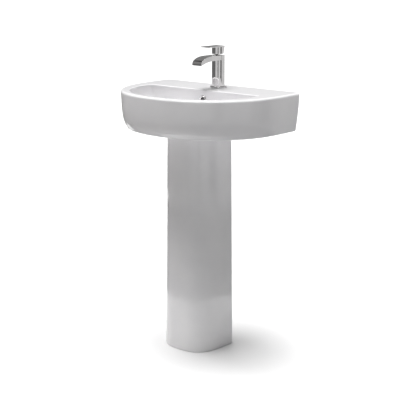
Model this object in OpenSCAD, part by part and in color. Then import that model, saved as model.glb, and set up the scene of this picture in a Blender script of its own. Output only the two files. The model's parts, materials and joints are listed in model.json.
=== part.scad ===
// Pedestal basin with single-lever mixer tap, click-clack waste and bottle trap.
// Millimetres, +Z up. Every module is drawn with the wall at y = 0 and the room at -y;
// the last lines move the whole part so that the origin is the bottom centre of its box.

/* [Basin] */
// overall width of the basin
basin_w = 566; // [540:1:600]
// projection of the basin from the wall
basin_d = 388; // [370:1:430]
// height of the rim above the floor
rim_z = 850; // [820:1:880]
// height of the visible skirt
skirt_h = 123; // [112:1:128]
// width of the rim at the middle of the front
rim_w = 21; // [18:1:26]
// width of the rim at the two sides
rim_side = 53; // [40:1:60]
// depth of the tap ledge, wall to bowl
ledge_d = 144; // [138:1:150]

/* [Pedestal] */
// half width of the pedestal at the floor
ped_w0 = 101; // [96:1:110]
// half width of the pedestal at the top
ped_w1 = 91; // [88:1:100]
// distance from the wall to the pedestal's front at the floor
ped_front = 271; // [265:1:280]
// distance from the wall to the pedestal's open back
ped_back = 111; // [105:1:115]
// wall thickness of the pedestal
ped_t = 11; // [9:1:13]

/* [Tap] */
// half width of the column, which is the radius of its round front
tap_r = 19; // [18.5:0.5:20]
// height of the column and spout above the ledge
tap_h = 106; // [100:1:112]
// spout tip to the wall
spout_tip = 175.5; // [165:0.5:180]
// lever tip to the wall
lever_tip = 135; // [120:1:150]
// clearance radius of the tap hole
tap_hole_r = 17.5; // [17:0.5:18]

/* [Wall fixing] */
// distance between the two wall bolts
bolt_gap = 280; // [180:1:300]
// height of the wall bolts above the floor
bolt_z = 800; // [790:1:810]
// how far the bolts reach into the wall
bolt_reach = 60; // [50:1:70]

/* [Hidden] */
$fn = 48;

// heights derived from the rim
skirt_z = rim_z - skirt_h;
ledge_t = 14;
ledge_low = rim_z - ledge_t;
belly_z = rim_z - 113;
pad_t = 2;
ped_h = belly_z - pad_t;

// outline of the basin
half_w = basin_w / 2;
d_side = 90;
bowl_side = 150;
d_pow_x = 0.92;
d_pow_y = 0.85;
straight_step = 5;
n_back = 3;
n_corner = 6;
n_side = 7;
n_front = 13;
side_end = 35;

// bowl and waste
waste_y = -208;
waste_hole_r = 22;
floor_z = rim_z - 101;
recess_z = floor_z - 3.8;
boss_z = belly_z - 23;
boss_r = 32;
duct_w = 30;
duct_wall = 5;
overflow_z = rim_z - 33;
overflow_r = 10.5;
overflow_seat_r = 14.5;
bolt_hole_r = 8;
bolt_r = 5;
thread_r = 4;
back_t = 12;

// pedestal outline
ped_side = 157;
ped_pow_x = 0.68;
ped_pow_y = 0.84;
ped_steps = 22;
web_h = 12;
web_d = 32;
floor_hole_r = 4;
floor_hole_x = 60;

// tap
col_y = -71;
col_back = -57.6;
tap_y = -74;
flange = 5.4;
col_z = rim_z + 5;
top_z = rim_z + tap_h;
lever_z = top_z + 4;
lever_h = 26;
pivot_z = top_z - 1;
cart_r = 12.5;
cart_z = top_z - 38;
tail_x = 8;
tail_y = -79;
tail_r = 5;
tail_out_x = 40;
tail_bend_z = 775;
tail_end_z = 575;
stud_y = -64;
stud_r = 4;
wall_y = (basin_d - bolt_reach) / 2;

function lerp(a, b, u) = a + (b - a) * u;
function sign1(v) = v < 0 ? -1 : 1;

// ---- D-shaped outlines -------------------------------------------------------------
// The outline is a straight side down to y = ys and a superellipse from there to the front yf.
// tau runs from negative values (straight side) through 0 to 90 (middle of the front).
function d_tau(y, ys, yf, q) =
    y >= ys ? -(y - ys) / straight_step : asin(min(1, pow((ys - y) / (ys - yf), 1 / q)));
function d_pt(tau, w, ys, yf, p, q) =
    tau < 0 ? [w, ys - tau * straight_step]
            : [w * pow(max(0, cos(tau)), p), ys - (ys - yf) * pow(sin(tau), q)];

// right half of a closed outline: back line, rounded corner, side and front curve
function half_ring(w, yb, yf, rc, ds) =
    let (tc = d_tau(yb, -ds, yf, d_pow_y),
         ts = d_tau(yb - rc, -ds, yf, d_pow_y),
         c = d_pt(tc, w, -ds, yf, d_pow_x, d_pow_y),
         b = d_pt(ts, w, -ds, yf, d_pow_x, d_pow_y),
         a = [c[0] - rc, yb],
         tm = max(side_end, ts + 8))
    concat([for (k = [0 : n_back - 1]) [a[0] * k / n_back, yb]],
           [for (j = [0 : n_corner]) let (u = j / n_corner)
                a * (1 - u) * (1 - u) + c * 2 * u * (1 - u) + b * u * u],
           [for (i = [1 : n_side]) d_pt(lerp(ts, tm, i / n_side), w, -ds, yf, d_pow_x, d_pow_y)],
           [for (i = [1 : n_front]) d_pt(lerp(tm, 90, i / n_front), w, -ds, yf, d_pow_x, d_pow_y)]);

// closed ring, clockwise seen from above, starting at the middle of the back;
// its height is zb behind the bowl's back wall and runs to zf at the middle of the front
function ring2(zb, zf, w, yb, yf, rc, ds = d_side) =
    let (h = half_ring(w, yb, yf, rc, ds), n = len(h))
    concat([for (p = h) [p[0], p[1], ring_z(p[1], zb, zf, yf)]],
           [for (i = [n - 2 : -1 : 1]) [-h[i][0], h[i][1], ring_z(h[i][1], zb, zf, yf)]]);
function ring_z(y, zb, zf, yf) = lerp(zb, zf, max(0, (-y - ledge_d) / (-yf - ledge_d)));
function ring(z, w, yb, yf, rc, ds = d_side) = ring2(z, z, w, yb, yf, rc, ds);

// skin through a list of equal rings; the first and last are closed by flat caps of
// triangles round their middle point
module loft(rings) {
    n = len(rings[0]);
    m = len(rings);
    mid0 = (rings[0][0] + rings[0][n / 2]) / 2;
    mid1 = (rings[m - 1][0] + rings[m - 1][n / 2]) / 2;
    pts = concat([for (r = rings) for (p = r) p], [mid0, mid1]);
    cap0 = [for (j = [0 : n - 1]) [n * m, j, (j + 1) % n]];
    cap1 = [for (j = [0 : n - 1]) [n * m + 1, (m - 1) * n + (j + 1) % n, (m - 1) * n + j]];
    skin = [for (i = [0 : m - 2]) for (j = [0 : n - 1])
                let (a = i * n + j, b = i * n + (j + 1) % n, c = b + n, d = a + n)
                each [[a, d, c], [a, c, b]]];
    polyhedron(points = pts, faces = concat(cap0, cap1, skin));
}

// ---- basin ---------------------------------------------------------------------------
bowl_w = half_w - rim_side;
bowl_f = -(basin_d - rim_w);
lip_w = half_w - 8;
edge_r = 4;
rim_r = 8;
lip_r = 5;
back_corner = 18;
skirt_in_side = 11.3;
skirt_in_front = 20;

bowl_t = 11;
corner_r = 9;
// bowl profile from the floor up: height above the floor, inset at the sides, the back and the front
bowl_steps = [
    [0, 165, 22, 110, 30],
    [1.5, 108, 18, 85, 40],
    [6, 66, 13, 60, 42],
    [15, 40, 9, 40, 40],
    [30, 25, 5, 25, 30],
    [52, 13, 2.5, 14, 18],
    [75, 5, 1, 5, 11],
    [101 - edge_r, 0, 0, 0, corner_r]];
bowl_rings = [for (b = bowl_steps)
    ring(floor_z + b[0], bowl_w - 3 - b[1], -ledge_d - b[2], bowl_f + 1 + b[3], b[4], bowl_side)];
inner_edge = [for (a = [22.5 : 22.5 : 90])
    let (k = edge_r * (1 - cos(a)))
    ring(rim_z - edge_r + edge_r * sin(a), bowl_w - 3 + k, -ledge_d + k, bowl_f + 1 - k, corner_r + k, bowl_side)];
// top of the rim and its outer edge
outer_edge = [for (a = [0 : 22.5 : 90])
    ring(rim_z - rim_r * (1 - cos(a)), half_w - rim_r + rim_r * sin(a), -0.3 * rim_r * (1 - sin(a)),
         -basin_d + rim_r - rim_r * sin(a), back_corner)];
// outer skirt, leaning in towards its bottom edge
skirt = [for (u = [0.2, 0.4, 0.6, 0.75, 0.85, 0.93, 1])
    ring(lerp(rim_z - rim_r, skirt_z + lip_r, u),
         half_w - skirt_in_side * pow(u, 1.45), 0, -basin_d + skirt_in_front * pow(u, 5), back_corner)];
lip_edge = [for (a = [22.5 : 22.5 : 90])
    let (k = lip_r * (1 - cos(a)))
    ring(skirt_z + lip_r * (1 - sin(a)), half_w - skirt_in_side - k, 0, -basin_d + skirt_in_front + k,
         back_corner)];
// hollow underside: inside of the skirt, underside of the ledge and the bowl's belly
hollow = [
    ring(skirt_z, half_w - 23, -back_t + 2, -basin_d + 32, 8),
    ring(skirt_z + 3, half_w - 24, -back_t, -basin_d + 33, 8),
    ring(skirt_z + 45, half_w - 17, -back_t, -basin_d + 18, 8),
    ring2(rim_z - 26, rim_z - 50, half_w - 12, -back_t, -basin_d + 17, 8),
    for (u = [0 : 0.2 : 1])
        ring2(ledge_low, rim_z - 40, lerp(half_w - 13.5, bowl_w + bowl_t + 2, u),
              lerp(-back_t - 4, -ledge_d + 18, u), -basin_d + 17 + 2.5 * u, lerp(10, 24, u),
              lerp(d_side, bowl_side - 6, u)),
    ring2(rim_z - 22, rim_z - 46, bowl_w + bowl_t - 3, -ledge_d + bowl_t, -basin_d + 21.5, 24, bowl_side)];
// underside of the bowl: height, side inset, back inset, front inset, corner
belly_steps = [
    [-60, 19, 3, 19, 28],
    [-78, 32, 5, 31, 30],
    [-93, 47, 8, 46, 32],
    [-105, 68, 11, 64, 32],
    [-113, 95, 13, 83, 32]];
belly = [for (b = belly_steps)
    ring(rim_z + b[0], bowl_w - 3 + bowl_t - b[1], -ledge_d + bowl_t - b[2],
         bowl_f + 1 - bowl_t + b[3], b[4], bowl_side)];

module basin_holes() {
    // waste hole, its recess and the tap hole
    translate([0, waste_y, boss_z - 1]) cylinder(r = waste_hole_r, h = 60);
    translate([0, waste_y, recess_z]) cylinder(r = 33.5, h = 20);
    translate([0, tap_y, ledge_low - 5]) cylinder(r = tap_hole_r, h = 40);
    // wall bolt holes
    for (s = [-1, 1])
        translate([s * bolt_gap / 2, 5, bolt_z]) rotate([90, 0, 0]) cylinder(r = bolt_hole_r, h = back_t + 10);
    // overflow hole, its flat seat, and the duct behind and below the bowl
    translate([0, -ledge_d, overflow_z]) rotate([90, 0, 0]) cylinder(r = overflow_seat_r, h = 20);
    translate([0, -ledge_d + 20, overflow_z]) rotate([90, 0, 0]) cylinder(r = overflow_r, h = 40);
    translate([-duct_w / 2, -ledge_d + 12, boss_z + duct_wall])
        cube([duct_w, 11, overflow_z + 10 - boss_z - duct_wall]);
    translate([-duct_w / 2, waste_y, boss_z + duct_wall]) cube([duct_w, -ledge_d + 23 - waste_y, 10]);
}

module basin() {
    color("white")
    difference() {
        union() {
            loft(concat(bowl_rings, inner_edge, outer_edge, skirt, lip_edge, hollow, belly));
            translate([0, waste_y, boss_z]) cylinder(r = boss_r, h = belly_z + 5 - boss_z);
            translate([-duct_w / 2 - duct_wall, waste_y, boss_z])
                cube([duct_w + 2 * duct_wall, -ledge_d + 28 - waste_y, belly_z + 4 - boss_z]);
            translate([-duct_w / 2 - duct_wall, -ledge_d + 6, boss_z])
                cube([duct_w + 2 * duct_wall, 22, ledge_low + 3 - boss_z]);
        }
        basin_holes();
    }
}

module overflow_ring() {
    color("silver")
    translate([0, -ledge_d - 0.05, overflow_z])
    rotate([90, 0, 0])
    difference() {
        union() {
            rotate_extrude()
                polygon([[8.6, 0], [13.4, 0], for (a = [0 : 15 : 180]) [11 + 2.4 * cos(a), 0.6 + 2.4 * sin(a)]]);
            translate([0, 0, -8.5]) cylinder(r = overflow_r - 0.1, h = 9);
        }
        translate([0, 0, -10]) cylinder(r = 8.6, h = 20);
    }
}

// ---- pedestal ------------------------------------------------------------------------
function ped_curve(w, yb, ys, yf) =
    let (right = concat([[w, yb], [w, lerp(yb, ys, 0.5)]],
                        [for (i = [0 : ped_steps / 2])
                            let (t = 90 * i / (ped_steps / 2))
                            [w * pow(max(0, cos(t)), ped_pow_x), ys - (ys - yf) * pow(sin(t), ped_pow_y)]]),
         n = len(right))
    concat(right, [for (i = [n - 2 : -1 : 0]) [-right[i][0], right[i][1]]]);

module pedestal_shell() {
    levels = [0, 0.12, 0.35, 0.6, 0.85, 1];
    outer = [for (u = levels) ped_curve(lerp(ped_w0, ped_w1, u), -ped_back, -ped_side, -lerp(ped_front, ped_front - 8, u))];
    inner = [for (u = levels) ped_curve(lerp(ped_w0, ped_w1, u) - ped_t, -ped_back, -ped_side + 4,
                                        -lerp(ped_front, ped_front - 8, u) + ped_t)];
    k = len(outer[0]);
    n = 2 * k;
    m = len(levels);
    pts = [for (i = [0 : m - 1])
               each concat([for (p = outer[i]) [p[0], p[1], levels[i] * ped_h]],
                           [for (j = [k - 1 : -1 : 0]) [inner[i][j][0], inner[i][j][1], levels[i] * ped_h]])];
    sides = [for (i = [0 : m - 2]) for (j = [0 : n - 1])
                 let (a = i * n + j, b = i * n + (j + 1) % n, c = b + n, d = a + n)
                 each [[a, b, c], [a, c, d]]];
    foot = [for (j = [0 : k - 2]) let (o = j, q = n - 1 - j) each [[q, q - 1, o + 1], [q, o + 1, o]]];
    head = [for (j = [0 : k - 2])
                let (o = (m - 1) * n + j, q = m * n - 1 - j) each [[o, o + 1, q - 1], [o, q - 1, q]]];
    polyhedron(points = pts, faces = concat(sides, foot, head));
}

module pedestal() {
    color("white")
    difference() {
        union() {
            pedestal_shell();
            translate([-ped_w0 + ped_t - 2, -ped_back - web_d, 0])
                cube([2 * (ped_w0 - ped_t + 2), web_d, web_h]);
        }
        for (s = [-1, 1])
            translate([s * floor_hole_x, -ped_back - web_d / 2, -1]) cylinder(r = floor_hole_r, h = web_h + 2);
    }
}

// rubber pads on the top edge of the pedestal
module seat_pads() {
    color("dimgray") {
        translate([-20, -ped_front + 9.5, ped_h]) cube([40, 7, pad_t]);
        for (s = [-1, 1])
            translate([s * (ped_w1 - ped_t / 2) - 3.5, -185, ped_h]) cube([7, 35, pad_t]);
    }
}

// ---- wall fixing ---------------------------------------------------------------------
module at_bolts() {
    for (s = [-1, 1])
        translate([s * bolt_gap / 2, 0, bolt_z]) rotate([90, 0, 0]) children();
}

module wall_bolts() {
    color("silver")
    at_bolts() {
        // wood-screw end in the wall, with its point
        translate([0, 0, -bolt_reach]) cylinder(r1 = 1.5, r2 = bolt_r, h = 8);
        translate([0, 0, 8 - bolt_reach]) cylinder(r = bolt_r, h = bolt_reach - 9);
        // threaded end that carries the basin
        translate([0, 0, -2]) cylinder(r = thread_r, h = back_t + 24);
    }
}

module bolt_sleeves() {
    color("whitesmoke")
    at_bolts() difference() {
        union() {
            cylinder(r = bolt_hole_r - 0.1, h = back_t);
            translate([0, 0, back_t]) cylinder(r = 14, h = 3);
        }
        translate([0, 0, -1]) cylinder(r = thread_r + 0.05, h = back_t + 6);
    }
}

module bolt_washers() {
    color("silver")
    at_bolts() translate([0, 0, back_t + 3]) difference() {
        cylinder(r = 11, h = 2);
        translate([0, 0, -1]) cylinder(r = thread_r + 0.05, h = 4);
    }
}

module bolt_nuts() {
    color("silver")
    at_bolts() translate([0, 0, back_t + 5]) difference() {
        cylinder(r = 8.4, h = 8, $fn = 6);
        translate([0, 0, -1]) cylinder(r = thread_r + 0.05, h = 10);
    }
}

// ---- waste ---------------------------------------------------------------------------
module at_waste(z) {
    translate([0, waste_y, z]) children();
}

module ring_solid(ro, ri, h) {
    difference() {
        cylinder(r = ro, h = h);
        translate([0, 0, -1]) cylinder(r = ri, h = h + 2);
    }
}

seal_z = recess_z + 1;
tube_end = boss_z - 48;

module waste_body() {
    color("silver")
    difference() {
        union() {
            at_waste(seal_z) cylinder(r1 = 32.5, r2 = 31, h = 2.6);
            at_waste(tube_end) cylinder(r = 20.2, h = seal_z - tube_end + 1);
        }
        at_waste(tube_end - 1) cylinder(r = 16.5, h = 80);
        at_waste(seal_z - 4) cylinder(r1 = 16.5, r2 = 21, h = 7);
        // overflow slots, front and back
        translate([-8, waste_y - 25, boss_z + 6]) cube([16, 50, 8]);
    }
}

module waste_top_seal() {
    color("dimgray")
    at_waste(recess_z) ring_solid(31, 22.2, 1);
}

module waste_lower_seal() {
    color("dimgray")
    at_waste(boss_z - 3) ring_solid(30, 20.3, 3);
}

module waste_slip_washer() {
    color("whitesmoke")
    at_waste(boss_z - 4.5) ring_solid(30, 20.3, 1.5);
}

module waste_back_nut() {
    color("silver")
    at_waste(boss_z - 14.5) difference() {
        union() {
            cylinder(r = 30, h = 7, $fn = 6);
            translate([0, 0, 7]) cylinder(r = 29, h = 3);
        }
        translate([0, 0, -1]) cylinder(r = 20.25, h = 12);
    }
}

cap_z = seal_z + 3.4;

module plug() {
    color("silver") {
        at_waste(cap_z) rotate_extrude()
            polygon([[0, -3], [14, -3], [14, -0.4], [26, 0], [27, 0.8], [27, 1.8],
                     for (a = [10 : 10 : 90]) [27 * cos(a), 1.8 + 4 * sin(a)]]);
        at_waste(boss_z - 18) cylinder(r = 4, h = cap_z - boss_z + 16);
    }
}

module plug_seal() {
    color("dimgray")
    at_waste(cap_z - 2.2) ring_solid(19.3, 14.05, 1.6);
}

module plug_guide() {
    color("whitesmoke")
    at_waste(boss_z - 30) difference() {
        union() {
            cylinder(r = 8, h = 28);
            for (a = [30 : 120 : 270])
                rotate([0, 0, a]) translate([0, -1.5, 4]) cube([16.35, 3, 14]);
        }
        translate([0, 0, 3]) cylinder(r = 4.05, h = 30);
    }
}

// ---- bottle trap ---------------------------------------------------------------------
trap_top = tube_end - 2;
outlet_z = trap_top - 26;
head_r = 27;
bottle_top = outlet_z - 28;
bottle_end = bottle_top - 76;

module trap_body() {
    color("whitesmoke")
    difference() {
        union() {
            at_waste(trap_top - 3) cylinder(r = 22.5, h = 3);
            at_waste(trap_top - 14) cylinder(r = 18, h = 12);
            at_waste(bottle_top - 8) cylinder(r = head_r, h = trap_top - 12 - bottle_top + 8);
            translate([0, waste_y, outlet_z]) rotate([-90, 0, 0]) cylinder(r = 19, h = 48);
            // dip tube
            at_waste(bottle_end + 20) cylinder(r = 18, h = bottle_top - bottle_end - 10);
        }
        at_waste(bottle_top - 9) ring_solid(head_r - 3, 18, 44);
        at_waste(bottle_end + 10) cylinder(r = 15, h = trap_top - bottle_end);
        // outlet passage, open to the outer chamber
        translate([0, waste_y + 20, outlet_z]) rotate([-90, 0, 0]) cylinder(r = 16.1, h = 40);
    }
}

module trap_inlet_nut() {
    color("whitesmoke")
    at_waste(trap_top - 3) difference() {
        union() {
            cylinder(r = 26.5, h = 24);
            for (a = [0 : 30 : 330])
                rotate([0, 0, a]) translate([26, 0, 2]) cylinder(r = 1.6, h = 20, $fn = 16);
        }
        translate([0, 0, -1]) cylinder(r = 20.3, h = 30);
        translate([0, 0, -1]) cylinder(r = 22.7, h = 7);
    }
}

module trap_inlet_seal() {
    color("dimgray")
    at_waste(trap_top) ring_solid(22.4, 17, 2);
}

module trap_bottle() {
    color("whitesmoke")
    difference() {
        union() {
            at_waste(bottle_end) cylinder(r1 = 22, r2 = 26, h = 10);
            at_waste(bottle_end + 10) cylinder(r = 26, h = bottle_top - bottle_end - 20);
            at_waste(bottle_top - 14) cylinder(r = 31, h = 22);
            for (a = [0 : 20 : 340])
                rotate_about_waste(a) translate([30.6, 0, bottle_top - 12]) cylinder(r = 1.4, h = 18, $fn = 16);
        }
        at_waste(bottle_end + 3) cylinder(r = 23, h = 90);
        at_waste(bottle_top - 10) cylinder(r = head_r + 0.1, h = 30);
    }
}

module rotate_about_waste(a) {
    translate([0, waste_y, 0]) rotate([0, 0, a]) children();
}

module bottle_seal() {
    color("dimgray")
    at_waste(bottle_top - 10) ring_solid(26.8, 23.2, 2);
}

outlet_y = waste_y + 48;
pipe_r = 16;
spigot_r = 15.6;

module trap_outlet_nut() {
    color("whitesmoke")
    translate([0, outlet_y - 13, outlet_z]) rotate([-90, 0, 0]) difference() {
        union() {
            cylinder(r = 22.5, h = 20);
            for (a = [0 : 30 : 330])
                rotate([0, 0, a]) translate([22, 0, 2]) cylinder(r = 1.4, h = 16, $fn = 16);
        }
        translate([0, 0, -1]) cylinder(r = 19.1, h = 16);
        translate([0, 0, -1]) cylinder(r = spigot_r + 0.15, h = 30);
    }
}

module trap_outlet_seal() {
    color("dimgray")
    translate([0, outlet_y, outlet_z]) rotate([-90, 0, 0]) ring_solid(18.9, spigot_r + 0.05, 2);
}

module waste_pipe() {
    color("whitesmoke")
    translate([0, waste_y + 28, outlet_z]) rotate([-90, 0, 0]) difference() {
        cylinder(r = pipe_r, h = -waste_y - 28 - 20);
        translate([0, 0, -1]) cylinder(r = 14, h = -waste_y);
        // the end inside the trap is eased to go through the nut
        translate([0, 0, -1]) ring_solid(pipe_r + 1, spigot_r, 29);
    }
}

// ---- tap -----------------------------------------------------------------------------
// plan of the column: round front, flat sides and back, grown by o on every side
module column(o, z, h) {
    // round front, flat sides, flat back
    intersection() {
        union() {
            translate([0, col_y, z]) cylinder(r = tap_r + o, h = h);
            translate([-tap_r - o, col_y, z]) cube([2 * (tap_r + o), col_back - col_y + o, h]);
        }
        translate([-50, col_y - 50, z - 1]) cube([100, 50 + col_back - col_y + o, h + 2]);
    }
}

spout_flat = 120;
spout_len = spout_tip - spout_flat;
function spout_top(y) =
    y > -spout_flat ? top_z : top_z - 21.5 * (1 - sqrt(max(0, 1 - pow((-y - spout_flat) / spout_len, 2))));
function spout_low(y) = top_z - 15.7 - 11.3 * pow(max(0, (-y - 118) / (spout_tip - 118)), 1.8);
spout_ys = [for (i = [0 : 12]) -lerp(118, spout_tip, sin(90 * i / 12))];
duct_ys = [for (i = [0 : 8]) -lerp(118, spout_tip - 5, i / 8)];

// profile in the y-z plane drawn out across the tap
module across(w) {
    translate([-w / 2, 0, 0]) rotate([90, 0, 90]) linear_extrude(height = w) children();
}

module tap_body() {
    color("silver")
    difference() {
        union() {
            column(0, col_z, top_z - col_z);
            across(2 * tap_r)
                polygon(concat([[col_y, top_z]], [for (y = spout_ys) [y, spout_top(y)]],
                               [for (i = [12 : -1 : 0]) [spout_ys[i], spout_low(spout_ys[i])]],
                               [[col_y, spout_low(-100)]]));
        }
        // cartridge seat
        translate([0, tap_y, cart_z]) cylinder(r = cart_r + 0.1, h = 60);
        // hot and cold ways and the fixing stud's thread
        for (s = [-1, 1])
            translate([s * tail_x, tail_y, col_z - 1]) cylinder(r = 5.1, h = 15);
        for (s = [-1, 1])
            translate([s * 5.5, tap_y - 1, col_z + 8]) cylinder(r = 3, h = cart_z - col_z);
        translate([0, stud_y, col_z - 1]) cylinder(r = stud_r + 0.05, h = 18);
        // water way along the spout and its outlet slot
        across(22)
            polygon(concat([for (y = duct_ys) [y, spout_top(y) - 4]],
                           [for (i = [8 : -1 : 0]) [duct_ys[i], spout_low(duct_ys[i]) + 3.5]],
                           [[-80, spout_low(-80) + 3.5], [-80, top_z - 10]]));
        translate([-4, tap_y - 13, cart_z + 9]) cube([8, 4, 20]);
        translate([-12, -spout_tip + 4, top_z - 32]) cube([24, 9, 16]);
    }
}

module flow_guide() {
    color("whitesmoke")
    translate([-11.9, -spout_tip + 4.1, top_z - 23.5]) difference() {
        cube([23.8, 8.8, 7.4]);
        for (i = [0 : 6])
            translate([1.6 + i * 3.1, 1.4, -1]) cube([2, 6, 10]);
    }
}

module tap_base_ring() {
    color("silver")
    difference() {
        column(flange, rim_z + 0.8, 4.2);
        translate([0, tap_y, rim_z - 1]) cylinder(r = 15.8, h = 10);
    }
}

module tap_base_seal() {
    color("dimgray")
    difference() {
        column(3.8, rim_z, 0.8);
        translate([0, tap_y, rim_z - 1]) cylinder(r = 16, h = 10);
    }
}

module tap_stud() {
    color("silver")
    translate([0, stud_y, ledge_low - 44]) cylinder(r = stud_r, h = 76);
}

module horseshoe(h) {
    difference() {
        translate([0, tap_y, 0]) cylinder(r = 24, h = h);
        translate([-14, tap_y - 30, -1]) cube([28, 33, h + 2]);
        translate([0, stud_y, -1]) cylinder(r = stud_r + 0.1, h = h + 2);
    }
}

module horseshoe_seal() {
    color("dimgray")
    translate([0, 0, ledge_low - 3]) horseshoe(3);
}

module horseshoe_plate() {
    color("silver")
    translate([0, 0, ledge_low - 5]) horseshoe(2);
}

module stud_nut() {
    color("goldenrod")
    translate([0, stud_y, ledge_low - 15]) difference() {
        cylinder(r = 7.2, h = 10, $fn = 6);
        translate([0, 0, -1]) cylinder(r = stud_r + 0.05, h = 12);
    }
}

// copper tail: down from the tap, out in an S bend of two quarter turns, then down again
bend_r = (tail_out_x - tail_x) / 2;

module tail(s) {
    low_z = tail_bend_z - 2 * bend_r;
    scale([s, 1, 1]) {
        translate([tail_x, tail_y, tail_bend_z]) cylinder(r = tail_r, h = col_z + 12 - tail_bend_z);
        translate([tail_x + bend_r, tail_y, tail_bend_z]) rotate([90, 0, 0]) rotate([0, 0, 180])
            rotate_extrude(angle = 90) translate([bend_r, 0]) circle(r = tail_r);
        translate([tail_out_x - bend_r, tail_y, low_z]) rotate([90, 0, 0])
            rotate_extrude(angle = 90) translate([bend_r, 0]) circle(r = tail_r);
        translate([tail_out_x, tail_y, tail_end_z]) cylinder(r = tail_r, h = low_z - tail_end_z);
    }
}

module hot_tail() {
    color("sandybrown") tail(-1);
}

module cold_tail() {
    color("sandybrown") tail(1);
}

module tail_seals() {
    color("dimgray")
    for (s = [-1, 1])
        translate([s * tail_x, tail_y, col_z - 2]) ring_solid(6.2, tail_r + 0.05, 2);
}

module tail_nuts() {
    color("goldenrod")
    for (s = [-1, 1])
        translate([s * tail_out_x, tail_y, tail_end_z]) difference() {
            cylinder(r = 11.5, h = 14, $fn = 6);
            translate([0, 0, -1]) cylinder(r = tail_r + 0.05, h = 20);
        }
}

module tail_spigots() {
    color("sandybrown")
    for (s = [-1, 1])
        translate([s * tail_out_x, tail_y, tail_end_z - 32]) {
            difference() {
                union() {
                    cylinder(r = 7.5, h = 26);
                    translate([0, 0, 24]) cylinder(r = 9.5, h = 8);
                }
                translate([0, 0, -1]) cylinder(r = 6, h = 40);
            }
        }
}

// ---- cartridge and lever -------------------------------------------------------------
module at_tap(z) {
    translate([0, tap_y, z]) children();
}

module cartridge() {
    color("whitesmoke")
    difference() {
        union() {
            at_tap(cart_z + 1.5) cylinder(r = cart_r, h = 26);
            at_tap(cart_z + 27) cylinder(r = 9.6, h = 9.2);
        }
        at_tap(pivot_z - 10) cylinder(r = 8.3, h = 8.6);
        at_tap(pivot_z - 2) cylinder(r = 6.5, h = 10);
        for (s = [-1, 1])
            translate([s * 5.5, tap_y - 1, cart_z]) cylinder(r = 2.5, h = 8);
        translate([-4, tap_y - 20, cart_z + 10]) cube([8, 14, 8]);
    }
}

module cartridge_nut() {
    color("goldenrod")
    at_tap(cart_z + 27.6) difference() {
        cylinder(r = cart_r, h = 9);
        translate([0, 0, -1]) cylinder(r = 9.8, h = 12);
        for (a = [0 : 90 : 270])
            rotate([0, 0, a]) translate([9, -1.2, 6]) cube([8, 2.4, 6]);
    }
}

module cartridge_seals() {
    color("dimgray")
    for (s = [-1, 1])
        translate([s * 5.5, tap_y - 1, cart_z]) ring_solid(4.2, 2.9, 1.4);
}

module stem_carrier() {
    color("whitesmoke")
    at_tap(pivot_z - 9) difference() {
        union() {
            cylinder(r = 8, h = 5);
            for (s = [-1, 1])
                translate([s * 4.05 - 1.15, -2.8, 4]) cube([2.3, 5.6, 7.4]);
        }
        translate([-10, 0, 9]) rotate([0, 90, 0]) cylinder(r = 1.25, h = 20);
    }
}

module stem_pin() {
    color("silver")
    translate([-5.2, tap_y, pivot_z]) rotate([0, 90, 0]) cylinder(r = 1.25, h = 10.4);
}

module stem() {
    color("silver")
    difference() {
        union() {
            translate([-2.6, tap_y, pivot_z]) rotate([0, 90, 0]) cylinder(r = 3, h = 5.2);
            translate([-2.6, tap_y - 3, pivot_z]) cube([5.2, 6, lever_z + 14 - pivot_z]);
        }
        translate([-10, tap_y, pivot_z]) rotate([0, 90, 0]) cylinder(r = 1.3, h = 20);
    }
}

lever_in = 6;
blade_tip_t = 2.4;
blade_t = 3.8;
lever_plan = concat([[tap_r, col_back], [tap_r, col_y]],
                    [for (a = [-7.5 : -7.5 : -172.5]) [tap_r * cos(a), col_y + tap_r * sin(a)]],
                    [[-tap_r, col_y], [-tap_r, col_back]]);
module lever() {
    color("silver")
    difference() {
        union() {
            translate([0, 0, lever_z]) linear_extrude(height = lever_h) polygon(lever_plan);
            // thin flat blade level with the top
            across(2 * tap_r)
                polygon([[col_y, lever_z + lever_h], [-lever_tip, lever_z + lever_h],
                         [-lever_tip, lever_z + lever_h - blade_tip_t],
                         [col_y - 12, lever_z + lever_h - blade_t], [col_y, lever_z + lever_h - blade_t]]);
        }
        // back leans in towards the bottom so that the lever can tip
        translate([0, col_back - lever_in, lever_z])
            rotate([-atan(lever_in / lever_h), 0, 0])
                translate([-30, 0, -10]) cube([60, 20, 50]);
        // hollow underneath around the boss for the stem
        difference() {
            translate([0, tap_y - 3, lever_z - 1]) cylinder(r = 11, h = 9);
            translate([0, tap_y, lever_z + 2]) cylinder(r = 6.5, h = 10);
        }
        translate([-2.65, tap_y - 3.05, lever_z - 2]) cube([5.3, 6.1, 17]);
        // grub screw way in the middle of the back
        translate([0, tap_y, lever_z + 11]) rotate([-90, 0, 0]) cylinder(r = 2.05, h = 30);
        translate([0, col_back - 5, lever_z + 11]) rotate([-90, 0, 0]) cylinder(r = 3.05, h = 10);
    }
}

module grub_screw() {
    color("dimgray")
    translate([0, tap_y + 3.05, lever_z + 11]) rotate([-90, 0, 0]) difference() {
        cylinder(r = 2, h = 6);
        translate([0, 0, 3]) cylinder(r = 1, h = 5, $fn = 6);
    }
}

module screw_cap() {
    color("silver")
    translate([0, col_back - 4.9, lever_z + 11]) rotate([-90, 0, 0]) cylinder(r = 3, h = 1.6);
}

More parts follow.
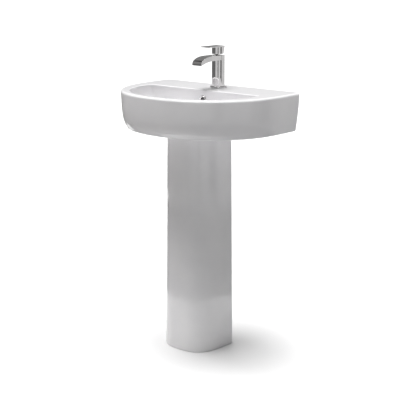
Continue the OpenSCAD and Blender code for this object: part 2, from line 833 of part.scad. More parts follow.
// ---- the whole part, moved to its reference point ---------------------------------------
module placed() {
    translate([0, wall_y, 0]) children();
}
placed() basin();
placed() overflow_ring();
placed() pedestal();
placed() seat_pads();
placed() wall_bolts();
placed() bolt_sleeves();
placed() bolt_washers();
placed() bolt_nuts();
placed() waste_body();
placed() waste_top_seal();
placed() waste_lower_seal();
placed() waste_slip_washer();
placed() waste_back_nut();
placed() plug();
placed() plug_seal();
placed() plug_guide();
placed() trap_body();
placed() trap_inlet_nut();
placed() trap_inlet_seal();
placed() trap_bottle();
placed() bottle_seal();
placed() trap_outlet_nut();
placed() trap_outlet_seal();
placed() waste_pipe();
placed() tap_body();
placed() tap_base_ring();
placed() tap_base_seal();
placed() flow_guide();
placed() tap_stud();
placed() horseshoe_seal();
placed() horseshoe_plate();
placed() stud_nut();
placed() hot_tail();
placed() cold_tail();
placed() tail_seals();
placed() tail_nuts();
placed() tail_spigots();
placed() cartridge();
placed() cartridge_nut();
placed() cartridge_seals();
placed() stem_carrier();
placed() stem_pin();
placed() stem();
placed() lever();
placed() grub_screw();
placed() screw_cap();
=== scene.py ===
import json
import math

import bmesh
import bpy
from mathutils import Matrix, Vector


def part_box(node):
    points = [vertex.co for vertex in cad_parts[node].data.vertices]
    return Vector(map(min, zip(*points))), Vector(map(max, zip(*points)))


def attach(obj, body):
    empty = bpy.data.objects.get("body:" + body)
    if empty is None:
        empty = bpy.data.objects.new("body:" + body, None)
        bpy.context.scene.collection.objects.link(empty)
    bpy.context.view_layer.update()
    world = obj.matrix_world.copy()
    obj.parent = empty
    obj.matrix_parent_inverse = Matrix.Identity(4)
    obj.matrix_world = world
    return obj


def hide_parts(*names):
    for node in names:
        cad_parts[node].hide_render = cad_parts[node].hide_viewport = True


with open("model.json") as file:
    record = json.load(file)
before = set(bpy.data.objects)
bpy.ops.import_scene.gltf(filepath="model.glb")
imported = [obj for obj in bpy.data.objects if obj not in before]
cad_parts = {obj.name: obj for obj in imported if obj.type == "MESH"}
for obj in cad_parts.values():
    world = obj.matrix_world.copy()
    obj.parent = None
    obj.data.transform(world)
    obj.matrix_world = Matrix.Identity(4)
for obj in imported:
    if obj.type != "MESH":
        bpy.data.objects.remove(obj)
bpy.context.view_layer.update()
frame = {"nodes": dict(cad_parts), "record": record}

MM = 0.001
BODY = {n: b for b, ns in frame["record"]["behaviour"]["bodies"].items() for n in ns}
SLOT = {s["node"]: s["material_slot"] for s in frame["record"]["subparts"]}

# ---- where things are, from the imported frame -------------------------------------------
basin_lo, basin_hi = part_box("basin")
ped_lo, ped_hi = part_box("pedestal")
tap_lo, tap_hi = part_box("tap_body")
lever_lo, lever_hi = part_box("lever")
plug_lo, plug_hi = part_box("plug")
ring_lo, ring_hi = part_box("overflow_ring")
WALL = basin_hi.y / MM                    # y of the wall, mm
RIM = basin_hi.z / MM                     # height of the rim
HALF_W = basin_hi.x / MM
DEPTH = WALL - basin_lo.y / MM
SKIRT_Z = RIM - 123
TAP_R = tap_hi.x / MM
TAP_TOP = tap_hi.z / MM
TAP_LOW = tap_lo.z / MM
COL_Y = WALL - 71                         # centre of the column's round front
COL_BACK = tap_hi.y / MM
TAP_Y = WALL - 74
SPOUT_TIP = tap_lo.y / MM
WASTE_Y = (plug_lo.y + plug_hi.y) / 2 / MM
LEDGE_D = 144                             # depth of the tap ledge, wall to bowl
LEDGE_T = 14                              # thickness of the ledge
FLOOR_Z = RIM - 101                       # the bowl's floor
BOSS_Z = RIM - 136                        # lower end of the waste's boss


# ---- camera, at the viewing angle of a product shot ---------------------------------------
def make_camera(azimuth, elevation, distance, target, lens):
    a, e = math.radians(azimuth), math.radians(elevation)
    back = Vector((math.sin(a) * math.cos(e), -math.cos(a) * math.cos(e), math.sin(e)))
    data = bpy.data.cameras.new("camera")
    data.lens, data.sensor_width = lens, 36.0
    data.clip_start, data.clip_end = 0.05, 100.0
    cam = bpy.data.objects.new("camera", data)
    bpy.context.scene.collection.objects.link(cam)
    cam.rotation_mode = "QUATERNION"
    cam.location = Vector(target) + back * distance
    cam.rotation_quaternion = (-back).to_track_quat("-Z", "Y")
    bpy.context.scene.camera = cam


make_camera(40.293, 13.620, 3.25086, (0.0379, WALL * MM - 0.2042, 0.5023), 90.677)


# ---- mesh helpers ---------------------------------------------------------------------------
def only(obj):
    """Makes obj the one selected and active object."""
    if bpy.context.object and bpy.context.object.mode != "OBJECT":
        bpy.ops.object.mode_set(mode="OBJECT")
    bpy.ops.object.select_all(action="DESELECT")
    obj.select_set(True)
    bpy.context.view_layer.objects.active = obj
    return obj


def edit(obj):
    only(obj)
    bpy.ops.object.mode_set(mode="EDIT")
    return bmesh.from_edit_mesh(obj.data)


def settle(obj):
    """Puts the object's place into its mesh."""
    only(obj)
    bpy.ops.object.transform_apply(location=True, rotation=True, scale=True)
    return obj


def modify(obj, kind, **settings):
    """Adds a modifier and applies it."""
    only(obj)
    m = obj.modifiers.new(kind.lower(), kind)
    for k, v in settings.items():
        setattr(m, k, v)
    bpy.ops.object.modifier_apply(modifier=m.name)
    return obj


def smooth(obj, angle=35):
    only(obj)
    bpy.ops.object.shade_smooth_by_angle(angle=math.radians(angle))
    return obj


def fix_normals(obj, merge=0.002):
    edit(obj)
    bpy.ops.mesh.select_all(action="SELECT")
    bpy.ops.mesh.remove_doubles(threshold=merge * MM)
    bpy.ops.mesh.normals_make_consistent(inside=False)
    bpy.ops.object.mode_set(mode="OBJECT")
    return obj


def extrude_rings(name, rings):
    """A filled polygon drawn out ring by ring. Each ring is a list of points in mm, all of one length."""
    bpy.ops.object.select_all(action="DESELECT")
    bpy.ops.mesh.primitive_circle_add(vertices=len(rings[0]), radius=0.1, fill_type="NGON",
                                      location=(0, 0, 0))
    obj = bpy.context.object
    obj.name = obj.data.name = name
    bm = edit(obj)
    bpy.ops.mesh.select_all(action="SELECT")
    for k, ring in enumerate(rings):
        if k:
            bpy.ops.mesh.extrude_region_move()
            bm = bmesh.from_edit_mesh(obj.data)
        face = next(f for f in bm.faces if f.select and len(f.verts) == len(ring))
        for loop, p in zip(face.loops, ring):
            loop.vert.co = Vector(p) * MM
        bmesh.update_edit_mesh(obj.data)
    bpy.ops.object.mode_set(mode="OBJECT")
    return fix_normals(obj)


def box_at(name, lo, hi):
    """A box between two corners in mm, used to add or cut."""
    bpy.ops.object.select_all(action="DESELECT")
    bpy.ops.mesh.primitive_cube_add(size=1, location=[(a + b) / 2 * MM for a, b in zip(lo, hi)],
                                    scale=[(b - a) * MM for a, b in zip(lo, hi)])
    bpy.context.object.name = name
    return settle(bpy.context.object)


def rod_at(name, centre, radius, length, axis="Z", vertices=96):
    """A cylinder from centre along +axis, in mm."""
    turn = {"Z": (0, 0, 0), "Y": (math.radians(-90), 0, 0)}[axis]
    along = {"Z": Vector((0, 0, 1)), "Y": Vector((0, 1, 0))}[axis]
    mid = Vector(centre) + along * length / 2
    bpy.ops.object.select_all(action="DESELECT")
    bpy.ops.mesh.primitive_cylinder_add(vertices=vertices, radius=radius * MM, depth=length * MM,
                                        location=mid * MM, rotation=turn)
    bpy.context.object.name = name
    return settle(bpy.context.object)


def combine(obj, other, how):
    """Boolean with a helper solid, which is used up."""
    modify(obj, "BOOLEAN", object=other, operation=how, solver="EXACT")
    bpy.data.objects.remove(other)
    return obj


def put(obj, node, material, *also):
    """Gives a finished piece its material and its body, and hides the CAD nodes it stands for."""
    obj.data.materials.clear()
    obj.data.materials.append(material)
    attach(obj, BODY[node])
    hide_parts(node, *also)
    return obj


# ---- materials --------------------------------------------------------------------------------
def linear(code):
    """sRGB hex to linear colour."""
    parts = [int(code[i:i + 2], 16) / 255 for i in (1, 3, 5)]
    return [c / 12.92 if c <= 0.04045 else ((c + 0.055) / 1.055) ** 2.4 for c in parts] + [1.0]


def add(mat, kind, values=(), links=(), **props):
    """One node: property settings, input values by name or number, and links into its inputs."""
    node = mat.node_tree.nodes.new(kind)
    for k, v in props.items():
        setattr(node, k, v)
    for k, v in dict(values).items():
        node.inputs[k].default_value = v
    for k, (source, out) in dict(links).items():
        mat.node_tree.links.new(source.outputs[out], node.inputs[k])
    return node


def surface(name, base, roughness, metallic=0.0, ior=1.5, specular=0.5):
    """A new material: its shader node and the texture coordinate node that places its patterns."""
    mat = bpy.data.materials.new(name)
    mat.use_nodes = True
    mat.node_tree.nodes.clear()
    shader = add(mat, "ShaderNodeBsdfPrincipled",
                 {"Base Color": linear(base), "Roughness": roughness, "Metallic": metallic,
                  "IOR": ior, "Specular IOR Level": specular})
    out = add(mat, "ShaderNodeOutputMaterial")
    mat.node_tree.links.new(shader.outputs["BSDF"], out.inputs["Surface"])
    place = add(mat, "ShaderNodeTexCoord")
    return mat, shader, place


def grain(mat, place, size_mm, detail=3.0, rough=0.5, stretch=(1, 1, 1)):
    """Noise whose blotches are about size_mm across on the object."""
    turn = add(mat, "ShaderNodeMapping", {"Scale": stretch}, {"Vector": (place, "Object")})
    return add(mat, "ShaderNodeTexNoise",
               {"Scale": 1.0 / (size_mm * MM), "Detail": detail, "Roughness": rough},
               {"Vector": (turn, "Vector")})


def vary_colour(mat, shader, noise, dark, light, low=0.35, high=0.65):
    ramp = add(mat, "ShaderNodeMapRange", {"From Min": low, "From Max": high}, {"Value": (noise, "Fac")})
    mix = add(mat, "ShaderNodeMix", {6: linear(dark), 7: linear(light)}, {0: (ramp, "Result")},
              data_type="RGBA")
    mat.node_tree.links.new(mix.outputs[2], shader.inputs["Base Color"])
    return mix


def vary_roughness(mat, shader, noise, low, high):
    ramp = add(mat, "ShaderNodeMapRange", {"From Min": 0.3, "From Max": 0.7, "To Min": low, "To Max": high},
               {"Value": (noise, "Fac")})
    mat.node_tree.links.new(ramp.outputs["Result"], shader.inputs["Roughness"])


def bump(mat, shader, noise, height_mm, strength=1.0, under=None):
    links = {"Height": (noise, "Fac")}
    if under:
        links["Normal"] = (under, "Normal")
    node = add(mat, "ShaderNodeBump", {"Strength": strength, "Distance": height_mm * MM}, links)
    mat.node_tree.links.new(node.outputs["Normal"], shader.inputs["Normal"])
    return node


def glazed_china():
    """Vitreous china under a fired clear glaze: even white, a glassy skin with a slow ripple."""
    mat, shader, place = surface("glazed_vitreous_china", "#f1f0f1", 0.09, ior=1.52)
    ripple = grain(mat, place, 42, detail=2.0)
    vary_colour(mat, shader, grain(mat, place, 160, detail=4.0), "#eeedef", "#f4f3f4")
    vary_roughness(mat, shader, grain(mat, place, 9, detail=5.0), 0.07, 0.13)
    fine = bump(mat, shader, grain(mat, place, 3.2, detail=2.0), 0.006)
    bump(mat, shader, ripple, 0.09, under=fine)
    return mat


def chrome_plate():
    """Polished brass under chrome plate: near-mirror, with faint wipe marks."""
    mat, shader, place = surface("polished_chrome_plate", "#dcdbdb", 0.05, metallic=1.0)
    vary_colour(mat, shader, grain(mat, place, 30, detail=3.0), "#d8d7d7", "#e3e1e1")
    vary_roughness(mat, shader, grain(mat, place, 6, detail=5.0, stretch=(1, 1, 0.35)), 0.03, 0.08)
    bump(mat, shader, grain(mat, place, 14, detail=2.0), 0.008)
    return mat


def zinc_plate():
    """Zinc-plated steel: bluish grey, dull, with blotchy passivation."""
    mat, shader, place = surface("zinc_plated_steel", "#b4b8bc", 0.34, metallic=1.0)
    vary_colour(mat, shader, grain(mat, place, 7, detail=5.0), "#a2a7ad", "#c3c6c8")
    vary_roughness(mat, shader, grain(mat, place, 2.5, detail=4.0), 0.26, 0.42)
    bump(mat, shader, grain(mat, place, 1.2, detail=3.0), 0.02)
    return mat


def turned_brass():
    """Machined brass: warm yellow metal with fine turning marks round the axis, slightly dulled."""
    mat, shader, place = surface("turned_brass", "#c9a25a", 0.28, metallic=1.0)
    vary_colour(mat, shader, grain(mat, place, 6, detail=4.0), "#b98f48", "#d6b26c")
    marks = grain(mat, place, 5, detail=3.0, stretch=(1, 1, 14))
    vary_roughness(mat, shader, marks, 0.2, 0.36)
    bump(mat, shader, marks, 0.02)
    return mat


def drawn_copper():
    """Drawn copper tube: salmon red with brown tarnish in streaks along the tube."""
    mat, shader, place = surface("drawn_copper", "#c87f5e", 0.26, metallic=1.0)
    vary_colour(mat, shader, grain(mat, place, 11, detail=5.0, stretch=(1, 1, 0.2)), "#a9643f", "#d99472")
    vary_roughness(mat, shader, grain(mat, place, 4, detail=4.0), 0.18, 0.38)
    bump(mat, shader, grain(mat, place, 2, detail=2.0, stretch=(1, 1, 0.1)), 0.012)
    return mat


def black_rubber():
    """Moulded EPDM rubber: near black, matte, with grey bloom."""
    mat, shader, place = surface("moulded_black_rubber", "#1d1d1e", 0.62, ior=1.5)
    vary_colour(mat, shader, grain(mat, place, 4, detail=5.0), "#171718", "#29292b")
    vary_roughness(mat, shader, grain(mat, place, 1.5, detail=4.0), 0.52, 0.74)
    bump(mat, shader, grain(mat, place, 0.9, detail=3.0), 0.03)
    return mat


def natural_nylon():
    """Injection-moulded nylon: ivory, slightly waxy, fine moulded texture."""
    mat, shader, place = surface("natural_nylon", "#ded9c9", 0.42, ior=1.53)
    vary_colour(mat, shader, grain(mat, place, 5, detail=4.0), "#d8d2c0", "#e5e1d3")
    vary_roughness(mat, shader, grain(mat, place, 2, detail=3.0), 0.36, 0.5)
    bump(mat, shader, grain(mat, place, 0.8, detail=2.0), 0.02)
    return mat


def white_polypropylene():
    """Moulded polypropylene: cool white, satin, with a faint orange peel from the mould."""
    mat, shader, place = surface("white_polypropylene", "#e9e9e6", 0.3, ior=1.49)
    vary_colour(mat, shader, grain(mat, place, 22, detail=4.0), "#e4e4e0", "#eeeeec")
    vary_roughness(mat, shader, grain(mat, place, 3, detail=4.0), 0.24, 0.38)
    bump(mat, shader, grain(mat, place, 1.6, detail=2.0), 0.02)
    return mat


CHINA, CHROME, ZINC, BRASS = glazed_china(), chrome_plate(), zinc_plate(), turned_brass()
COPPER, RUBBER, NYLON, PP = drawn_copper(), black_rubber(), natural_nylon(), white_polypropylene()
FINISH = {"glazed_ceramic": CHINA, "chrome": CHROME, "zinc_steel": ZINC, "brass": BRASS, "copper": COPPER,
          "rubber": RUBBER, "nylon": NYLON, "white_plastic": PP}


# ---- basin --------------------------------------------------------------------------------------
POW_X, POW_Y = 0.92, 0.85                 # how full the bow of the D is, across and along
SIDE_END = 35.0                           # place on the bow, in degrees, where its points get denser
STEP = 5.0                                # mm of straight side for each unit of place
D_SIDE, BOWL_SIDE = 90.0, 150.0           # where the straight sides of the basin and of its bowl end


def d_tau(y, yf, ds):
    """Place on the D curve at depth y: mm/STEP below zero on the straight side, degrees on the bow."""
    if y >= -ds:
        return -(y + ds) / STEP
    return math.degrees(math.asin(min(1.0, ((-ds - y) / (-ds - yf)) ** (1 / POW_Y))))


def d_point(tau, w, yf, ds):
    if tau < 0:
        return Vector((w, -ds - tau * STEP))
    t = math.radians(tau)
    return Vector((w * max(0.0, math.cos(t)) ** POW_X, -ds - (-ds - yf) * math.sin(t) ** POW_Y))


def d_ring(z, w, yb, yf, rc, z_front=None, ds=D_SIDE, counts=(8, 12, 16, 34)):
    """Closed D outline in mm: flat back at yb, corners of size rc, bow out to yf.
    Its height is z behind the bowl's back wall and may fall to z_front at the bow."""
    n_back, n_corner, n_side, n_front = counts
    tc, ts = d_tau(yb, yf, ds), d_tau(yb - rc, yf, ds)
    tm = max(SIDE_END, ts + 8)
    c, b = d_point(tc, w, yf, ds), d_point(ts, w, yf, ds)
    a = Vector((c.x - rc, yb))
    half = [Vector((a.x * k / n_back, yb)) for k in range(n_back)]
    for j in range(n_corner + 1):
        u = j / n_corner
        half.append(a * (1 - u) ** 2 + c * 2 * u * (1 - u) + b * u * u)
    half += [d_point(ts + (tm - ts) * i / n_side, w, yf, ds) for i in range(1, n_side + 1)]
    half += [d_point(tm + (90 - tm) * i / n_front, w, yf, ds) for i in range(1, n_front + 1)]
    points = half + [Vector((-p.x, p.y)) for p in half[-2:0:-1]]
    zf = z if z_front is None else z_front

    def height(y):
        return z + (zf - z) * max(0.0, (-y - LEDGE_D) / (-yf - LEDGE_D))
    return [(p.x, p.y + WALL, height(p.y)) for p in points]


def spline(keys, per_step):
    """Smooth list through rows of numbers (Catmull-Rom), per_step rows for each gap."""
    rows = []
    for i in range(len(keys) - 1):
        p0, p1, p2, p3 = (keys[max(0, min(len(keys) - 1, i + d))] for d in (-1, 0, 1, 2))
        for s in range(per_step):
            t = s / per_step
            rows.append([0.5 * (2 * b + (c - a) * t + (2 * a - 5 * b + 4 * c - d) * t * t
                                + (3 * b - a - 3 * c + d) * t ** 3)
                         for a, b, c, d in zip(p0, p1, p2, p3)])
    rows.append(list(keys[-1]))
    return rows


EDGE_R, RIM_R, LIP_R = 4.0, 8.0, 5.0      # roundings of the bowl's edge, the rim and the skirt's lip
BOWL_CORNER, BACK_CORNER = 9.0, 18.0      # plan corners of the bowl and of the basin's back
SKIRT_IN_SIDE, SKIRT_IN_FRONT = 11.3, 20  # how far the skirt leans in at its lower edge
BOWL_W = HALF_W - 56                      # half width of the bowl's wall below its edge
BOWL_F = -(DEPTH - 22)                    # front of the bowl's wall below its edge
BOWL_T = 11                               # thickness of the bowl
# bowl from the floor up: height above the floor, inset at the sides, back and front, corner
BOWL_STEPS = [(0, 165, 22, 110, 30), (1.5, 108, 18, 85, 40), (6, 66, 13, 60, 42), (15, 40, 9, 40, 40),
              (30, 25, 5, 25, 30), (52, 13, 2.5, 14, 18), (75, 5, 1, 5, 11),
              (101 - EDGE_R, 0, 0, 0, BOWL_CORNER)]
# underside of the bowl: depth below the rim, inset at the sides, back and front, corner
BELLY_STEPS = [(60, 19, 3, 19, 28), (78, 32, 5, 31, 30), (93, 47, 8, 46, 32), (105, 68, 11, 64, 32),
               (113, 95, 13, 83, 32)]
# inside of the skirt: height, inset at the sides, back and front, height at the front
INNER_SKIRT = [(SKIRT_Z, 23, 10, 32, SKIRT_Z), (SKIRT_Z + 3, 24, 12, 33, SKIRT_Z + 3),
               (SKIRT_Z + 45, 17, 12, 18, SKIRT_Z + 45), (RIM - 26, 12, 12, 17, RIM - 50)]


def quarter(steps, first=0):
    """Angles of a quarter round in radians, in equal steps."""
    return [math.radians(90 * k / steps) for k in range(first, steps + 1)]


def bowl_rings():
    """From the floor up the bowl's wall and over its edge."""
    rings = [d_ring(FLOOR_Z + h, BOWL_W - i, -LEDGE_D - b, BOWL_F + f, rc, ds=BOWL_SIDE)
             for h, i, b, f, rc in spline(BOWL_STEPS, 3)]
    for a in quarter(7, 1):
        g = EDGE_R * (1 - math.cos(a))
        rings.append(d_ring(RIM - EDGE_R + EDGE_R * math.sin(a), BOWL_W + g, -LEDGE_D + g, BOWL_F - g,
                            BOWL_CORNER + g, ds=BOWL_SIDE))
    return rings


def rim_and_skirt_rings():
    """Out over the rim and down the outside to the skirt's lip."""
    g = EDGE_R + 1
    rings = [d_ring(RIM, BOWL_W + g, -134, BOWL_F - g, BOWL_CORNER + g, ds=BOWL_SIDE),
             d_ring(RIM, HALF_W - RIM_R - 1, -2.8, -DEPTH + RIM_R + 1, BACK_CORNER)]
    for a in quarter(6):
        rings.append(d_ring(RIM - RIM_R * (1 - math.cos(a)), HALF_W - RIM_R + RIM_R * math.sin(a),
                            -0.3 * RIM_R * (1 - math.sin(a)), -DEPTH + RIM_R - RIM_R * math.sin(a),
                            BACK_CORNER))
    for k in range(1, 19):
        u = 1 - (1 - k / 18) ** 1.4
        rings.append(d_ring(RIM - RIM_R + (SKIRT_Z + LIP_R - RIM + RIM_R) * u,
                            HALF_W - SKIRT_IN_SIDE * u ** 1.45, 0,
                            -DEPTH + SKIRT_IN_FRONT * u ** 5, BACK_CORNER))
    for a in quarter(6, 1):
        g = LIP_R * (1 - math.cos(a))
        rings.append(d_ring(SKIRT_Z + LIP_R * (1 - math.sin(a)), HALF_W - SKIRT_IN_SIDE - g, 0,
                            -DEPTH + SKIRT_IN_FRONT + g, BACK_CORNER))
    return rings


def underside_rings():
    """Up inside the skirt, in under the ledge and down round the bowl."""
    rings = [d_ring(z, HALF_W - i, -b, -DEPTH + f, 8, zf) for z, i, b, f, zf in INNER_SKIRT]
    out_w, low_z = BOWL_W + BOWL_T, RIM - 40
    for u in (0, 0.2, 0.4, 0.6, 0.8, 1.0):
        rings.append(d_ring(RIM - LEDGE_T, HALF_W - 13.5 + (out_w + 5 - HALF_W + 13.5) * u,
                            -16 - 110 * u, -DEPTH + 17 + 2.5 * u, 10 + 14 * u, low_z,
                            D_SIDE + (BOWL_SIDE - 6 - D_SIDE) * u))
    rings.append(d_ring(RIM - 22, out_w, -133, -DEPTH + 21.5, 24, RIM - 46, BOWL_SIDE))
    rings += [d_ring(RIM - d, out_w - i, -133 - b, BOWL_F - BOWL_T + f, rc, ds=BOWL_SIDE)
              for d, i, b, f, rc in BELLY_STEPS]
    return rings


def make_basin():
    body = extrude_rings("china_basin", bowl_rings() + rim_and_skirt_rings() + underside_rings())
    combine(body, rod_at("boss", (0, WASTE_Y, BOSS_Z), 32, RIM - 108 - BOSS_Z), "UNION")
    combine(body, box_at("low_duct", (-20, WASTE_Y, BOSS_Z), (20, WALL - 116, RIM - 109)), "UNION")
    combine(body, box_at("back_duct", (-20, WALL - 138, BOSS_Z), (20, WALL - 116, RIM - 11)), "UNION")
    combine(body, rod_at("waste_hole", (0, WASTE_Y, BOSS_Z - 1), 22, 60), "DIFFERENCE")
    combine(body, rod_at("recess", (0, WASTE_Y, RIM - 104.8), 33.5, 20), "DIFFERENCE")
    combine(body, rod_at("tap_hole", (0, TAP_Y, RIM - 20), 17.5, 40), "DIFFERENCE")
    over_z = (ring_lo.z + ring_hi.z) / 2 / MM
    combine(body, rod_at("overflow", (0, WALL - 164, over_z), 10.5, 40, "Y"), "DIFFERENCE")
    combine(body, rod_at("overflow_seat", (0, WALL - 164, over_z), 14.5, 20, "Y"), "DIFFERENCE")
    combine(body, box_at("duct", (-15, WALL - 132, BOSS_Z + 5), (15, WALL - 121, over_z + 10)),
            "DIFFERENCE")
    combine(body, box_at("duct_foot", (-15, WASTE_Y, BOSS_Z + 5), (15, WALL - 121, BOSS_Z + 15)),
            "DIFFERENCE")
    for s in (-1, 1):
        combine(body, rod_at("bolt_hole", (s * 140, WALL - 17, RIM - 50), 8, 22, "Y", 48), "DIFFERENCE")
    smooth(body, 32)
    modify(body, "WEIGHTED_NORMAL", keep_sharp=True, weight=60)
    return put(body, "basin", CHINA)


# ---- pedestal --------------------------------------------------------------------------------------
def ped_outline(w, yb, ys, yf, n=34):
    right = [(w, yb), (w, yb + (ys - yb) * 0.33), (w, yb + (ys - yb) * 0.66)]
    for i in range(n + 1):
        t = math.radians(90 * i / n)
        right.append((w * max(0.0, math.cos(t)) ** 0.68, ys - (ys - yf) * math.sin(t) ** 0.84))
    return right + [(-x, y) for x, y in right[-2::-1]]


def make_pedestal():
    top = ped_hi.z / MM
    w0 = ped_hi.x / MM
    yb, front = ped_hi.y / MM - WALL, WALL - ped_lo.y / MM
    wall_t = 11

    def section(z, grow=0.0, thin=0.0):
        u = z / top
        w, f = w0 - 10 * u + grow, front - 8 * u + grow
        outer = ped_outline(w, yb, -157, -f)
        inner = ped_outline(w - wall_t - grow + thin, yb, -153, -f + wall_t + grow - thin)
        return [(x, y + WALL, z) for x, y in outer + inner[::-1]]
    rings = [section(0.0, -1.6), section(0.5, -0.8), section(1.6, -0.2), section(3.0)]
    rings += [section(top * k / 12) for k in range(1, 12)]
    rings += [section(top - 3), section(top - 1, -0.6), section(top, -2)]
    body = extrude_rings("china_pedestal", rings)
    combine(body, box_at("foot_web", (-w0 + 9, WALL + yb - 32, 0), (w0 - 9, WALL + yb, 12)), "UNION")
    for s in (-1, 1):
        combine(body, rod_at("screw_hole", (s * 60, WALL + yb - 16, -1), 4, 14, "Z", 32), "DIFFERENCE")
    modify(body, "BEVEL", width=1.8 * MM, segments=3, limit_method="ANGLE", angle_limit=math.radians(55))
    smooth(body, 38)
    modify(body, "WEIGHTED_NORMAL", keep_sharp=True, weight=60)
    return put(body, "pedestal", CHINA)


# ---- tap ---------------------------------------------------------------------------------------------
def plan(r, back, z, n=48, cy=COL_Y):
    """D-shaped plan of the column: flat back, flat sides, round front."""
    pts = [(r, back, z), (r, cy, z)]
    pts += [(r * math.cos(math.radians(-180 * i / n)), cy + r * math.sin(math.radians(-180 * i / n)), z)
            for i in range(1, n)]
    return pts + [(-r, cy, z), (-r, back, z)]


def spout_top(y):
    """Height of the spout's upper face at depth y from the wall, mm."""
    u = max(0.0, (-y - 120) / 55.5)
    return TAP_TOP - 21.5 * (1 - math.sqrt(max(0.0, 1 - u * u)))


def spout_low(y):
    return TAP_TOP - 15.7 - 11.3 * max(0.0, (-y - 118) / 57.5) ** 1.8


def make_tap_body():
    body = extrude_rings("tap_column", [plan(TAP_R, COL_BACK, z) for z in (TAP_LOW, TAP_LOW + 40, TAP_TOP)])
    ys = [-75.0, -100.0] + [-(118 + 57.5 * math.sin(math.radians(90 * i / 26))) for i in range(27)]
    rings = [[(TAP_R, WALL + y, spout_low(y)), (TAP_R, WALL + y, spout_top(y)),
              (-TAP_R, WALL + y, spout_top(y)), (-TAP_R, WALL + y, spout_low(y))] for y in ys]
    combine(body, extrude_rings("spout", rings), "UNION")
    combine(body, rod_at("cartridge_bore", (0, TAP_Y, TAP_TOP - 12), 12.7, 20), "DIFFERENCE")
    combine(body, box_at("outlet", (-12, SPOUT_TIP + 4, TAP_TOP - 32), (12, SPOUT_TIP + 13, TAP_TOP - 16)),
            "DIFFERENCE")
    for x, y, r in ((-8, WALL - 79, 5.3), (8, WALL - 79, 5.3), (0, WALL - 64, 4.2)):
        combine(body, rod_at("socket", (x, y, TAP_LOW - 1), r, 12, "Z", 32), "DIFFERENCE")
    modify(body, "BEVEL", width=1.1 * MM, segments=3, limit_method="ANGLE", angle_limit=math.radians(40))
    smooth(body, 30)
    modify(body, "WEIGHTED_NORMAL", keep_sharp=True, weight=60)
    return put(body, "tap_body", CHROME)


def make_lever():
    low, top = lever_lo.z / MM, lever_hi.z / MM
    tip = lever_lo.y / MM

    def back(z):
        return lever_hi.y / MM - 6 + 6 * (z - low) / (top - low)
    body = extrude_rings("lever_head", [plan(TAP_R, back(z), z) for z in (low, (low + top) / 2, top)])
    rings = [[(TAP_R, y, top - t), (TAP_R, y, top), (-TAP_R, y, top), (-TAP_R, y, top - t)]
             for y, t in ((COL_Y, 3.8), (COL_Y - 12, 3.8), (tip, 2.4))]
    combine(body, extrude_rings("blade", rings), "UNION")
    combine(body, rod_at("under_hollow", (0, TAP_Y - 3, low - 1), 11, 3), "DIFFERENCE")
    combine(body, rod_at("screw_way", (0, COL_BACK - 5, low + 11), 3.1, 10, "Y", 32), "DIFFERENCE")
    modify(body, "BEVEL", width=0.9 * MM, segments=3, limit_method="ANGLE", angle_limit=math.radians(40))
    smooth(body, 30)
    modify(body, "WEIGHTED_NORMAL", keep_sharp=True, weight=60)
    return put(body, "lever", CHROME)


# ---- pieces whose CAD shape is right: edges broken, faces smoothed --------------------------------------
def dress(node, edge_mm=0.3):
    """A merged copy of a CAD node with its sharp edges rounded off."""
    source = frame["nodes"][node]
    obj = bpy.data.objects.new(node + "_finished", source.data.copy())
    bpy.context.scene.collection.objects.link(obj)
    edit(obj)
    bpy.ops.mesh.select_all(action="SELECT")
    bpy.ops.mesh.remove_doubles(threshold=0.004 * MM)
    bpy.ops.mesh.dissolve_limited(angle_limit=math.radians(0.6))
    bpy.ops.object.mode_set(mode="OBJECT")
    if edge_mm:
        modify(obj, "BEVEL", width=edge_mm * MM, segments=2, limit_method="ANGLE",
               angle_limit=math.radians(40))
    smooth(obj, 34)
    return put(obj, node, FINISH[SLOT[node]])


make_basin()
make_pedestal()
make_tap_body()
make_lever()
# how wide each piece's sharp edges are broken, mm
DRESSED = {"overflow_ring": 0.3, "waste_body": 0.4, "plug": 0.4, "waste_back_nut": 0.6, "trap_body": 0.8,
           "trap_inlet_nut": 0.5, "trap_bottle": 0.7, "trap_outlet_nut": 0.5, "waste_pipe": 0.5,
           "tap_base_ring": 0.8, "wall_bolts": 0.4, "bolt_washers": 0.3, "bolt_nuts": 0.5,
           "bolt_sleeves": 0.4, "tail_nuts": 0.6, "tail_spigots": 0.5, "hot_tail": 0.3, "cold_tail": 0.3,
           "tap_stud": 0.4, "stud_nut": 0.5, "horseshoe_plate": 0.3, "screw_cap": 0.2, "seat_pads": 0.3}
for node_name, edge_size in DRESSED.items():
    dress(node_name, edge_size)
REPLACED = {"basin", "pedestal", "tap_body", "lever"} | set(DRESSED)
for node_name, cad in frame["nodes"].items():
    if node_name not in REPLACED:
        cad.data.materials.clear()
        cad.data.materials.append(FINISH[SLOT[node_name]])


# ---- floor and light ------------------------------------------------------------------------------------
def make_floor():
    bpy.ops.object.select_all(action="DESELECT")
    bpy.ops.mesh.primitive_plane_add(size=400, location=(0, 0, -0.0005))
    floor = bpy.context.object
    floor.name = "studio_floor"
    floor.data.materials.append(surface("pale_matt_floor", "#f9f9f9", 0.9, specular=0.0)[0])


def area(name, place, aim, size, power, colour="#ffffff"):
    data = bpy.data.lights.new(name, "AREA")
    data.shape, data.size, data.size_y = "RECTANGLE", size[0], size[1]
    data.energy, data.color = power, linear(colour)[:3]
    lamp = bpy.data.objects.new(name, data)
    bpy.context.scene.collection.objects.link(lamp)
    lamp.location = place
    lamp.rotation_mode = "QUATERNION"
    lamp.rotation_quaternion = (Vector(aim) - Vector(place)).to_track_quat("-Z", "Y")
    return lamp


def card_material(name, colour, glow=0.0):
    """Matt card for the studio stage; glow is how bright the card itself is."""
    mat, shader, _ = surface(name, colour, 0.9, specular=0.0)
    shader.inputs["Emission Color"].default_value = linear("#ffffff")
    shader.inputs["Emission Strength"].default_value = glow
    return mat


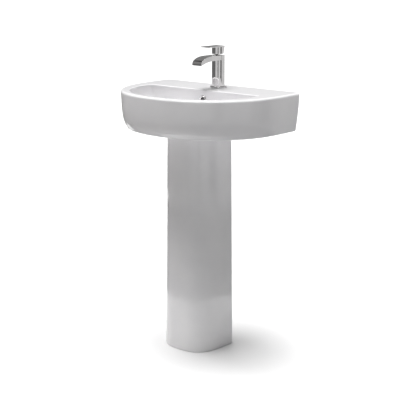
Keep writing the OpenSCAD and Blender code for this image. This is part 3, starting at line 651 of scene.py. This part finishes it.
def make_card(name, mat, start, stop, inner, outer):
    """A card bent round the object between two azimuths in degrees, hidden from the camera.
    inner and outer are the (radius, z) of its two edges."""
    count = 24
    angles = [math.radians(start + (stop - start) * i / count) for i in range(count + 1)]
    points = [(r * math.sin(a), -r * math.cos(a), z) for r, z in (inner, outer) for a in angles]
    faces = [(i, i + 1, i + count + 2, i + count + 1) for i in range(count)]
    mesh = bpy.data.meshes.new(name)
    mesh.from_pydata(points, [], faces)
    card = bpy.data.objects.new(name, mesh)
    bpy.context.scene.collection.objects.link(card)
    mesh.materials.append(mat)
    card.visible_camera = card.visible_shadow = card.visible_transmission = False
    return card


# upright cards that the chrome mirrors: azimuths (0 is the user's side, 90 the right) and brightness
GLOSS_CARDS = [("flag_left", -118, -4, 0.16), ("card_front", -4, 43, 0.70), ("flag_centre", 43, 57, 0.02),
               ("card_right", 57, 98, 0.75), ("flag_right", 98, 126, 0.06), ("card_side", 126, 200, 0.70)]


CARD_R, CARD_LOW, CARD_TOP, SKY_TOP = 2.3, 0.02, 0.95, 3.5


def make_cards():
    black = "#050505"
    for name, start, stop, glow in GLOSS_CARDS:
        card = make_card(name, card_material(name, black, glow), start, stop,
                         (CARD_R, CARD_LOW), (CARD_R, CARD_TOP))
        card.visible_diffuse = False
    sky = make_card("card_sky", card_material("card_sky", black, 0.25), -180, 180,
                    (CARD_R, CARD_TOP), (CARD_R, SKY_TOP))
    sky.visible_diffuse = False
    # keeps the floor in front from lighting the skirt
    make_card("dark_cloth", card_material("dark_cloth", "#202020"), -100, 180, (0.62, 0.002), (2.25, 0.002))


def make_light():
    bpy.context.scene.view_settings.view_transform = "Standard"
    world = bpy.data.worlds.new("studio")
    bpy.context.scene.world = world
    world.use_nodes = True
    sky = world.node_tree.nodes["Background"]
    sky.inputs["Color"].default_value = linear("#ffffff")
    sky.inputs["Strength"].default_value = 0.06
    sun = bpy.data.lights.new("overhead", "SUN")
    sun.energy, sun.angle = 4.65, math.radians(40)
    lamp = bpy.data.objects.new("overhead", sun)
    bpy.context.scene.collection.objects.link(lamp)
    lamp.rotation_euler = (math.radians(1), math.radians(-6), 0)
    area("left_low", (-2.3, -1.5, 0.55), (0, 0, 0.25), (1.2, 0.9), 4, "#fff4ea")
    area("right_fill", (2.8, 0.6, 1.2), (0, 0, 0.6), (0.8, 1.6), 2)


make_floor()
make_cards()
make_light()
